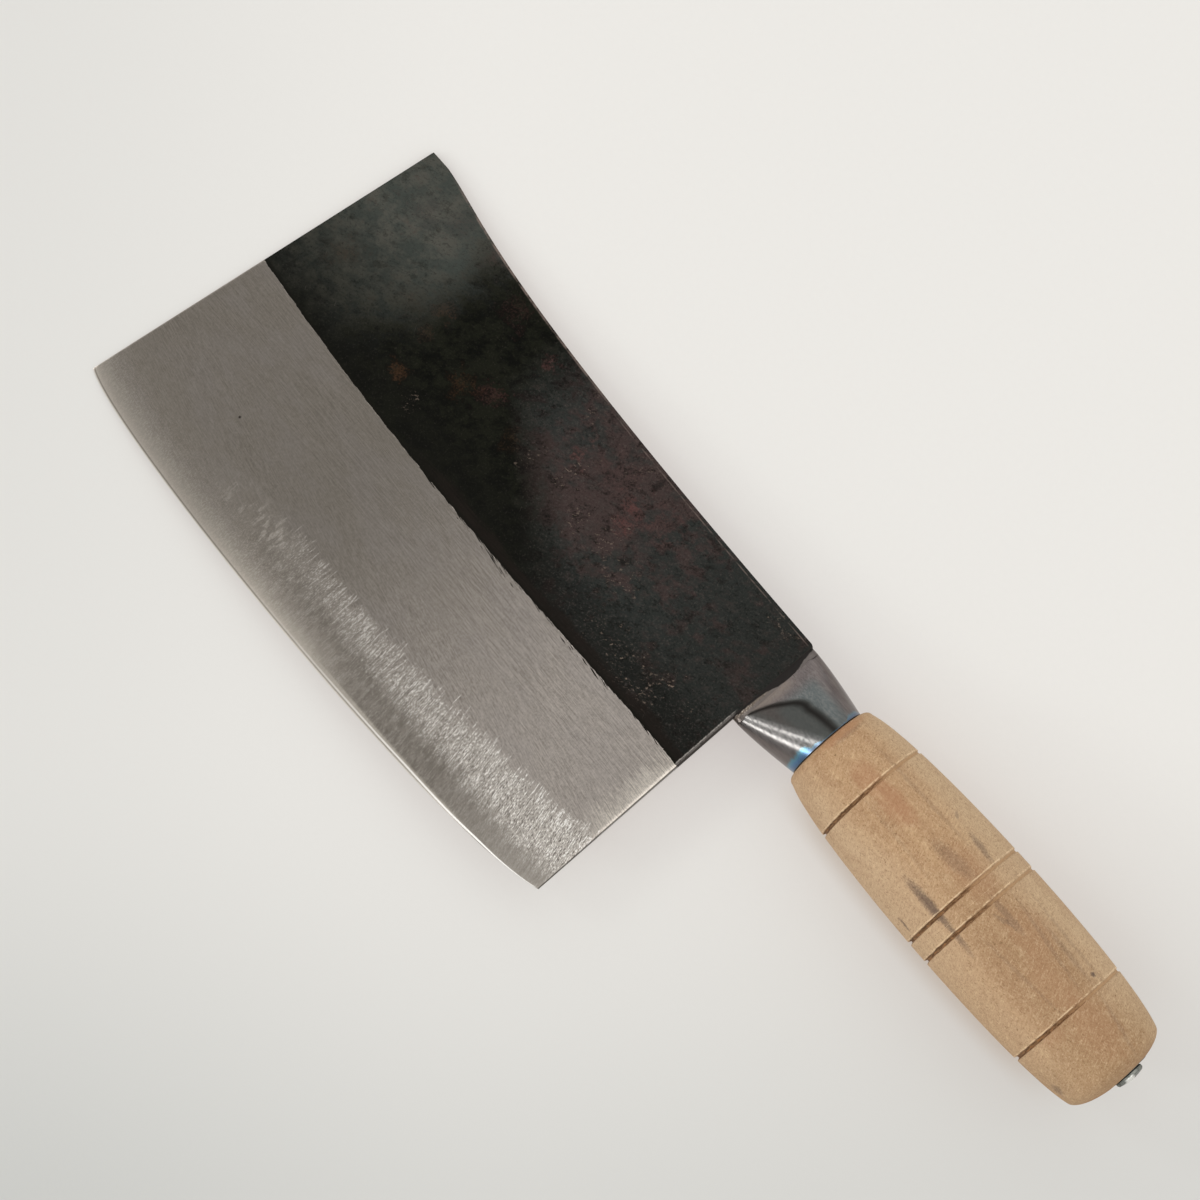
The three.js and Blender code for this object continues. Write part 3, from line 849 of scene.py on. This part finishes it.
neck_end = 19.8
neck_wall = 1.1
mouth_radius = 10.75
neck_steps = 48
neck_segments = 240
corner_radius = 3.4
fold_start = 3
fold_end = 3.2
fold_reach = 10.7
fold_bend = 4.27
fold_depth = 0.35
fold_lead = 1.2
fold_slope = 3.4
neck_waist = 1.4


def fold(x):
    """Where the fold left by the press runs across the neck."""
    return fold_end - fold_reach * math.exp((fold_start - x) / fold_bend)


def neck_ring(x, inset):
    part = (x - weld_width) / (neck_end - weld_width)
    half_width = mix(neck_half_width, mouth_radius, part**neck_waist) - inset
    half_height = mix(rim_half, mouth_radius, part) - inset
    corner = mix(corner_radius, mouth_radius, part) - inset
    shift = mix(neck_shift, 0, part)
    points = []
    for y, z in rounded(half_width, half_height, corner, neck_segments):
        beyond = min(max((y + shift - fold(x) + fold_lead) / fold_slope, 0), 1)
        pressed = fold_depth * beyond * beyond * (3 - 2 * beyond) * math.sin(math.pi * part)
        points.append((x, y + shift, z * (1 - pressed / half_height)))
    return points


def rounded(half_width, half_height, corner, count):
    """Half a flat line and a quarter ellipse, four times over, spread evenly round the outline."""
    flat = half_width - corner
    outline = []
    for i, side in enumerate((1, -1, -1, 1)):
        for turn in np.linspace(i * math.pi / 2, (i + 1) * math.pi / 2, 40):
            outline.append((side * flat + corner * math.cos(turn), half_height * math.sin(turn)))
    return spread(np.array(outline + outline[:1]), np.arange(count) / count)


def neck_shell():
    shell = Shell()
    stations = np.linspace(weld_width, neck_end, neck_steps)
    rings = [shell.ring(neck_ring(x, 0)) for x in stations]
    rings += [shell.ring(neck_ring(x, neck_wall)) for x in stations[::-1]]
    shell.loop(rings)
    return shell


def tinted_neck():
    """Dark polished sheet steel with a heat tint that runs through blue at the mouth, and a painted dark
    reflection along the fold.
    """
    material, place, _ = new_finish("tinted_neck")
    x, y = place.part(0), place.part(1)
    haze = place.grain(3, 3, 0.6)
    fine = place.grain(0.25, 2, 0.6, (1, 6, 6), 5)
    along = place.grain(0.4, 2, 0.6, (16, 1, 1), 6)
    brushed = place.grain(0.4, 3, 0.65, (8, 1, 1), 15)
    from_mouth = neck_end - x
    bright_side = (y + 0.45 * from_mouth).fade(1, -1) * (y + 0.35 * from_mouth).fade(-8, -5)
    color = painted(
        blend(haze.fade(0.35, 0.65), tone(106, 98, 97), tone(113, 104, 102)),
        (y.within(-4, 8, 1.5) * x.fade(4, 8), (100, 105, 105)),
        # Painted reflection: lighter on the lower flank
        (y.fade(-7, -9) * 0.8, (118, 110, 108)),
        (bright_side * 0.9, (108, 107, 106)),
        (brushed.fade(0.45, 0.65) * 0.35, (136, 132, 129)),
        (brushed.fade(0.5, 0.35) * (0.25 + 0.35 * bright_side), (72, 70, 68)))

    part = (x - weld_width) / (neck_end - weld_width)
    bend = (fold_start - x) / fold_bend
    past_fold = y - fold_end + fold_reach * bend.math("EXPONENT", bend) - 0.8 * x.within(7, 10.5, 1.2)
    turned_down = (y + (1 - part) * 9.8) / (corner_radius + part * (mouth_radius - corner_radius))
    scraped = x.fade(5.2, 2.4) * y.fade(6, 1) * past_fold.fade(0, 2)
    # Painted dark reflection beyond the fold, darkest in a painted band along the fold line itself
    painted_dark_reflection = past_fold.fade(2.5, 1.1) * turned_down.fade(-0.05, 0.12)
    crease = past_fold.within(-0.7, 1.2, 1.0) * past_fold.fade(2.5, 1.0) * turned_down.fade(-0.3, 0.1)
    color = painted(
        color,
        (scraped * (0.35 + 0.5 * fine.fade(0.4, 0.6)), (134, 123, 114)),
        (painted_dark_reflection * 0.62, (56, 55, 50)),
        (crease * 0.9, (36, 33, 31)))

    lower_side = y.fade(-3.5, -5.5)
    upper_side = y.within(7.6, 10.6, 0.7) * 0.7
    middle_side = y.within(-5, -0.8, 0.8) * 0.5
    depth = 2.7 * lower_side + 2.0 * (upper_side + middle_side) + (haze - 0.5) * 1.6 + (along - 0.5) * 2
    heat = from_mouth / depth.math("MAXIMUM", depth, 0.15)
    tint = heat.node("ShaderNodeValToRGB", {"stops": (
        (0.0, tone(84, 104, 124)), (0.3, tone(88, 120, 158)), (0.62, tone(96, 140, 160)),
        (0.9, tone(108, 124, 130)),
    )}, {0: heat})
    color = blend(heat.fade(1.05, 0.85) * (0.5 + 0.45 * lower_side), color, tint)
    coat(place, {
        "Base Color": color, "Metallic": 1.0, "Roughness": 0.2 + 0.08 * haze + 0.2 * scraped,
    }, fine * scraped + brushed * 0.06, 0.02)
    return material


neck_shell().piece("pressed_neck", "neck_socket", "neck_steel", tinted_neck())


# Handle
# One piece of pale close-grained wood, turned to a barrel with four cut grooves, bored for the rod and
# left bare. Its nose sits in the neck and its butt is let in for the washer.

handle_front = 20.2
handle_butt = 125.7
nose_front = 12.8
nose_gap = 1.4
shoulder_step = 2.15
shoulder_rounding = 1.7
butt_radius = 13.9
butt_dome = 4.2
front_pull = 17.76
butt_pull = 18.8
groove_places = (36.1, 68.95, 74.8, 105.8)
groove_width = 1.2
groove_depth = 0.75
groove_wall = 0.55
groove_rag = 0.16
rag_size = 0.35
turning_depth = 0.02
turning_size = 3
washer_floor = 123.9
washer_radius = 6
bore_gap = 0.3
handle_segments = 224
barrel_step = 0.7

shoulder = (handle_front + shoulder_rounding, mouth_radius + shoulder_step)
butt_edge = (handle_butt - butt_dome, butt_radius)
barrel_curve = bezier(
    shoulder,
    (mix(shoulder[0], butt_edge[0], 0.123), front_pull),
    (mix(shoulder[0], butt_edge[0], 0.841), butt_pull),
    butt_edge,
)
dome_curve = bezier(
    butt_edge,
    (mix(butt_edge[0], handle_butt, 0.5), butt_radius * 0.95),
    (handle_butt, butt_radius * 0.61),
    (handle_butt, 0),
)


def handle_shell():
    shell = Shell()
    count = handle_segments
    rings = []

    def turned(x, radius, groove=0.0, end=0.0):
        rings.append(shell.ring(circle(x, radius, 0, count), [(groove, end, 0)] * count))

    nose = mix(rim_half, mouth_radius, (nose_front - weld_width) / (neck_end - weld_width)) - nose_gap
    turned(nose_front, nose)
    turned(handle_front, mouth_radius - nose_gap, 0, 1)
    turned(handle_front, mouth_radius, 0, 1)
    for turn in np.linspace(0, math.pi / 2, 8):
        x = shoulder[0] - shoulder_rounding * math.sin(turn)
        turned(x, shoulder[1] - shoulder_rounding * (1 - math.cos(turn)), 0, 0.5)
    rings[-8:] = rings[-8:][::-1]

    stations = list(np.arange(shoulder[0] + barrel_step, butt_edge[0], barrel_step))
    half = groove_width / 2
    for middle in groove_places:
        stations = [x for x in stations if abs(x - middle) > groove_width]
        stations += [middle + half * step for step in np.linspace(-1.8, 1.8, 17)]
    for x in sorted(stations):
        radius = np.interp(x, barrel_curve[:, 0], barrel_curve[:, 1])
        middle = min(groove_places, key=lambda place: abs(place - x))
        points, marks = [], []
        for px, y, z in circle(x, radius, 0, count):
            angle = math.atan2(z, y)
            ragged = ripple((middle, 6 * angle, 0), rag_size, 9) * groove_rag
            reach = abs(x - middle + ragged * 0.4) - ragged
            depth = min(max((half - reach) / (half * groove_wall), 0), 1)
            shallow = 1 - 0.5 * min(max(y / radius * 1.6 + 0.4, 0), 1)
            sink = groove_depth * shallow * depth * depth * (3 - 2 * depth)
            sink += turning_depth * ripple((px, y, z), turning_size, 1)
            share = 1 - max(sink, 0) / radius
            points.append((px, y * share, z * share))
            marks.append((depth, 0, (x - middle) / half))
        rings.append(shell.ring(points, marks))

    outer, inner = butt_radius, washer_radius + bore_gap
    for part in np.linspace(0, 1, 22):
        radius = mix(outer, inner, part**1.2)
        points = []
        for _, y, z in circle(0, radius, rod_shift * part, count):
            reach = min(math.hypot(y, z), butt_radius)
            points.append((np.interp(-reach, -dome_curve[:, 1], dome_curve[:, 0]), y, z))
        rings.append(shell.ring(points, [(0, part, 0)] * count))
    for x, radius in (
        (washer_floor, inner), (washer_floor, rod_radius + bore_gap), (nose_front, rod_radius + bore_gap),
    ):
        rings.append(shell.ring(circle(x, radius, rod_shift, count), [(0, 1, 0)] * count))
    shell.loop(rings)
    return shell


# Stains of the bare wood: along and across the knife, half length, half width, slant and strength
streaks = (
    (64.5, -7.6, 7.5, 1.3, 0.0, 0.7), (70.0, -7.5, 8, 0.9, -0.01, 0.5), (77.0, -7.7, 5, 0.8, -0.05, 0.35),
    (90.0, 7.2, 15, 0.6, -0.13, 0.2), (93.0, 11.6, 14, 0.5, -0.04, 0.18), (46.0, 8.4, 17, 0.6, 0.02, 0.18),
    (92.0, -2.5, 14, 0.5, 0.08, 0.16), (50.0, -3.0, 14, 0.6, -0.04, 0.12),
    (115.0, 7.0, 8, 0.6, -0.2, 0.2), (61.5, 3.6, 7, 2.0, 0.1, 0.3), (63.5, 10.6, 4.5, 0.8, -0.08, 0.5),
    (79.5, 4.4, 6, 1.0, 0.0, 0.35), (80.0, 3.0, 3, 0.6, 0.3, 0.35), (54.0, 11.5, 1.0, 0.5, -0.4, 0.4),
    (95.0, 9.2, 9, 0.7, -0.05, 0.22), (102.7, 10.4, 0.8, 0.5, 0.0, 0.9), (65.0, -15.0, 2.2, 0.25, 0.0, 0.7),
    (117.3, -13.6, 1.7, 0.7, 0.1, 0.45), (22.5, 5.0, 0.8, 4.5, 0.0, 0.25),
)
# Warmer clouds of the wood: along and across the knife, half length, half width and strength
blushes = (
    (42.5, 2.2, 8, 3.2, 0.9), (33.0, 1.5, 5, 3.5, 0.7), (21.0, 4, 1.8, 7, 1.0), (112.0, 2.5, 11, 6, 0.35),
    (97.0, 2.0, 9, 5, 0.3), (66.0, 5.0, 9, 5, 0.3), (86.0, 6.0, 8, 5, 0.3), (107.0, -6.0, 3, 3, 0.3),
)


def bare_wood():
    """Pale tan wood with fine pores along the grain, pinkish clouds and grey stains."""
    material, place, marks = new_finish("bare_wood")
    groove, end, offset = (marks.part(i) for i in range(3))
    x, y, z = (place.part(i) for i in range(3))
    cloud = place.grain(14, 3, 0.55, (2.4, 1, 1), 1)
    figure = place.grain(2.2, 3, 0.6, (8, 1, 1), 2)
    fuzz = place.grain(0.42, 3, 0.8, (1.4, 1, 1), 3)
    mealy = place.grain(1.6, 4, 0.75, (1.5, 1, 1), 4)
    strokes = leaning(place, y * 0.5, 0).grain(0.35, 2, 0.65, (1, 5, 3), 23)
    drift = (cloud - 0.5) * 10
    browner = (x + drift * 4).fade(45, 90) * (y + drift * 0.8).within(-6, 12, 3.5)
    # Lower flank paler: partly the wood's own tone, partly painted light against the round barrel's shading
    paler_and_painted_light = (y + drift).fade(-3, -13) * (1 - 0.5 * x.fade(50, 100))
    color = painted(
        blend(figure.fade(0.3, 0.7), tone(170, 135, 101), tone(184, 150, 114)),
        (browner * 0.7, (154, 122, 90)),
        (paler_and_painted_light * 0.9, (194, 165, 133)),
        # Upper flank lightened: painted light against the round barrel's shading
        ((y + drift).fade(6, 14) * 0.85, (190, 163, 131)),
        ((x + drift).fade(104, 118) * 0.4, (158, 128, 94)),
        (cloud.fade(0.5, 0.7) * 0.4, (160, 125, 94)),
        (mealy.fade(0.48, 0.72) * 0.4, (200, 172, 137)),
        (mealy.fade(0.48, 0.28) * 0.4, (146, 112, 78)),
        (fuzz.fade(0.48, 0.3) * 0.8, (118, 88, 58)),
        (fuzz.fade(0.52, 0.72) * 0.6, (214, 188, 154)),
        (strokes.fade(0.54, 0.68) * 0.35, (212, 184, 148)),
        (strokes.fade(0.46, 0.32) * 0.3, (132, 98, 66)))
    top = z.fade(-4, 3)
    for along, across, length, width, strength in blushes:
        reach = ((x - along) / length) ** 2 + ((y - across) / width) ** 2
        spot = (reach + (figure - 0.5) * 1.0 + (mealy - 0.5) * 1.2).fade(1.3, 0.0) * top
        color = blend(spot * strength * 0.6, color, tone(162, 114, 83))
    for along, across, length, width, slant, strength in streaks:
        bent = y - across - (x - along) * slant + (mealy - 0.5) * 1.2
        reach = ((x - along) / length) ** 2 + (bent / width) ** 2
        spot = (reach + (fuzz - 0.5) * 2.2).fade(1.5, 0.0) * top
        color = blend(spot * strength, color, tone(98, 80, 70))
    color = blend(end * 0.45, color, tone(158, 122, 88))
    rough_cut = place.grain(1.5, 3, 0.65, (0.4, 1, 1), 9)
    # Darker groove floor: partly the cut wood's own colour, partly painted shade in the groove, lighter
    # towards the spine's side
    groove_floor_and_shade = painted(
        blend(rough_cut.fade(0.42, 0.58), tone(100, 68, 42), tone(150, 114, 80)),
        (y.fade(0, 7) * 0.8, (184, 148, 110)),
        (rough_cut.fade(0.56, 0.64) * y.fade(-2, -8) * 0.8, (160, 104, 54)))
    narrow = 0.3 + 0.4 * (y + (rough_cut - 0.5) * 12).fade(-7, 7)
    color = blend(groove.fade(narrow, narrow + 0.25) * (0.9 - 0.2 * y.fade(2, 9)), color, groove_floor_and_shade)
    lip = offset.within(-1.5, -0.9, 0.2) * rough_cut.fade(0.42, 0.55)
    rear = (x + (mealy - 0.5) * 1.5).fade(123.2, 124.6) * z.fade(7, 3)
    color = painted(color, (lip * 0.7, (226, 198, 162)), (rear * 0.6, (150, 106, 70)))
    coat(place, {
        "Base Color": color, "Roughness": 0.78 + 0.1 * mealy, "Specular IOR Level": 0.25,
    }, fuzz * 0.7 + mealy * 0.6 + figure * 0.3, 0.16)
    return material


handle_shell().piece("turned_handle", "handle", "pale_wood", bare_wood(), 50)


# Butt washer
# A small steel washer let into the butt, which spreads the load of the peened head over the wood.

washer_back = 124.2
washer_face = 125.2
washer_chamfer = 0.2
washer_segments = 128


def washer_shell():
    shell = Shell()
    hole = rod_radius + bore_gap
    outline = [
        (washer_back, hole),
        (washer_back, washer_radius - washer_chamfer),
        (washer_back + washer_chamfer, washer_radius),
        (washer_face - washer_chamfer, washer_radius),
        (washer_face - washer_chamfer * 0.3, washer_radius - washer_chamfer * 0.3),
        (washer_face, washer_radius - washer_chamfer),
        (washer_face, hole + washer_chamfer),
        (washer_face - washer_chamfer, hole),
    ]
    rings = [shell.ring(circle(x, radius, rod_shift, washer_segments)) for x, radius in outline]
    shell.loop(rings)
    return shell


def dull_zinc():
    """A dull grey washer with some rust at its rim."""
    material, place, _ = new_finish("dull_washer_steel")
    stain = place.grain(1.6, 4, 0.65)
    color = painted(
        blend(stain.fade(0.35, 0.6), tone(128, 126, 122), tone(104, 98, 92)),
        (stain.fade(0.58, 0.7) * 0.8, (112, 72, 48)))
    coat(place, {
        "Base Color": color, "Metallic": 0.9, "Roughness": 0.42 + 0.2 * stain,
    }, stain + place.grain(0.3, 2), 0.04)
    return material


washer_shell().piece("let_in_washer", "butt_washer", "rod_steel", dull_zinc())


# Table
# A sheet of white paper on a table, which carries the knife.

table_half = 6.0


def paper():
    """White paper, lightest beside the knife and a little darker towards the picture's corners by painted
    shade. It glows faintly, which keeps the shadows under the knife as soft as a big room does; beside the
    handle a painted shadow dims the glow."""
    material = bpy.data.materials.new("paper")
    start = emptied(material)
    spot = start.node("ShaderNodeTexCoord", output="Object").stretched(1 / MM, 1 / MM, 1 / MM)
    near = spot.against("DOT_PRODUCT", (0.75, -0.66, 0))
    left = spot.against("DOT_PRODUCT", (-0.66, -0.75, 0))
    fibre = spot.grain(1.6, 3, 0.6)
    painted_falloff = near.fade(0, 170) + 0.45 * left.fade(20, 180)
    for_light = blend(painted_falloff * 0.75, tone(162, 168, 165), tone(137, 144, 142))
    for_light = blend(fibre.fade(0.3, 0.7) * 0.1, for_light, tone(150, 156, 154))
    for_glow = blend(painted_falloff * 0.75, tone(176, 166, 163), tone(148, 141, 138))
    x, y = spot.part(0), spot.part(1)
    # Painted shadow beside the handle: the paper's glow is dimmed there
    contact = 12 + 2.2 * ((x - 103) / 50) ** 2
    painted_shadow = (y - contact).fade(-6, 0.5) * y.fade(26, 18) * x.within(50, 136, 12)
    for_glow = blend(painted_shadow * 0.95, for_glow, tone(149, 131, 121))
    coat(start, {
        "Base Color": for_light, "Roughness": 0.85, "Specular IOR Level": 0.2,
        "Emission Color": for_glow, "Emission Strength": 1.0,
    }, fibre, 0.02)
    return material


table_mesh = bpy.data.meshes.new("table_top")
corners = [(x * table_half, y * table_half, 0) for x, y in ((-1, -1), (1, -1), (1, 1), (-1, 1))]
table_mesh.from_pydata(corners, [], [(0, 1, 2, 3)])
table_mesh.materials.append(paper())
table_top = bpy.data.objects.new("table_top", table_mesh)
bpy.context.scene.collection.objects.link(table_top)


# Camera and light
# The camera looks down almost straight from above, turned so that the knife lies aslant. The light is
# a pale room, brighter on the spine's side and darker overhead, with three soft glows.

camera_height = 0.765
camera_offset = (0.03692, -0.01834)
target_offset = (-0.04468, -0.01834)
camera_turn = math.radians(48.69)
lens = 92.55
sensor = 36

# The shade overhead and the glows: strength, direction, and the angles in degrees where it is full
# and where it ends
overhead = (0.66, (-0.38, -0.08, 0.92), 12, 34)
glows = (
    (7.5, (-0.767, -0.25, 0.585), 3, 7.5),
    (0.7, (-0.63, -0.52, 0.57), 4, 13),
    (11.0, (-0.487, -0.737, 0.471), 3.5, 8),
)


def place_camera():
    camera = bpy.data.objects.new("camera", bpy.data.cameras.new("camera"))
    camera.data.lens = lens
    camera.data.sensor_width = sensor
    heel = Vector((knife_origin[0], knife_origin[1], 0))
    position = heel + Vector((*camera_offset, camera_height))
    target = heel + Vector((*target_offset, 0))
    back = (position - target).normalized()
    butt_way = (Vector((1, 0, 0)) - back * back.x).normalized()
    spine_way = back.cross(butt_way)
    right = butt_way * math.cos(camera_turn) + spine_way * math.sin(camera_turn)
    up = back.cross(right)
    turn = Matrix((right, up, back)).transposed()
    camera.matrix_world = Matrix.Translation(position) @ turn.to_4x4()
    bpy.context.scene.collection.objects.link(camera)
    bpy.context.scene.camera = camera


def room():
    """The light of the room by direction."""
    world = bpy.data.worlds.new("room")
    bpy.context.scene.world = world
    start = emptied(world)
    direction = start.node("ShaderNodeTexCoord", output="Generated")

    def towards(*aim):
        return direction.against("DOT_PRODUCT", Vector(aim).normalized())

    def glow(aim, inner, outer):
        """1 within an angle of a direction, fading to 0 at a wider one."""
        return towards(*aim).fade(math.cos(math.radians(outer)), math.cos(math.radians(inner)))

    side = towards(0.45, 0.85, 0.3)
    height = direction.part(2)
    level = (0.9 + 0.15 * side) * (0.8 + 0.55 * height.fade(0.1, 0.8))
    shade, *ceiling = overhead
    level = level * (1 - shade * glow(*ceiling))
    for strength, *place in glows:
        level = level + strength * glow(*place)
    sky = start.node("ShaderNodeBackground", None, {"Color": tone(255, 255, 253), "Strength": level})
    start.node("ShaderNodeOutputWorld", None, {"Surface": sky})


place_camera()
room()
bpy.context.scene.view_settings.view_transform = "Standard"
